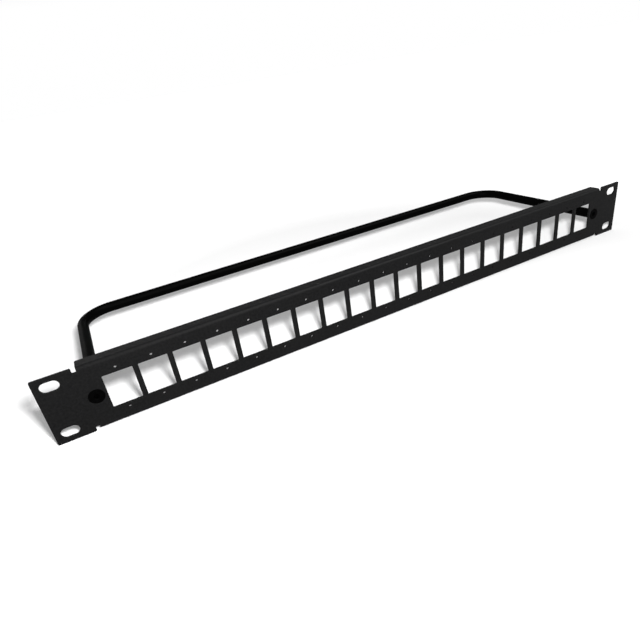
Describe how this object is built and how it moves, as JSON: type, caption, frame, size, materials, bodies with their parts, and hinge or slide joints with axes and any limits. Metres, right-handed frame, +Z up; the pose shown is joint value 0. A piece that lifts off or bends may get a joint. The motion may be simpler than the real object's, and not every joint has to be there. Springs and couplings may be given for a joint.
{
  "type": "audio patch bay frame",
  "caption": "Blank rack-mount patch frame: a folded steel panel with a row of module windows and a round lacing bar behind it.",
  "frame": {"origin": "centre of the four rack slots, on the rear face of the ears", "axes": "+X along the panel to the viewer's right seen from the front, +Y into the rack towards the lacing bar, +Z up; the front face looks along -Y"},
  "size_m": [0.4826, 0.1375, 0.0444],
  "materials": {
    "panel_powder_coat": "satin black powder coat with a fine orange-peel texture",
    "bar_black_coat": "smooth satin black coating on round steel bar",
    "screw_black_oxide": "black oxide on steel, lightly oiled"
  },
  "bodies": {
    "root": {"front_panel": "panel_powder_coat", "lacing_bar": "bar_black_coat", "bar_screws": "screw_black_oxide"}
  },
  "joints": []
}
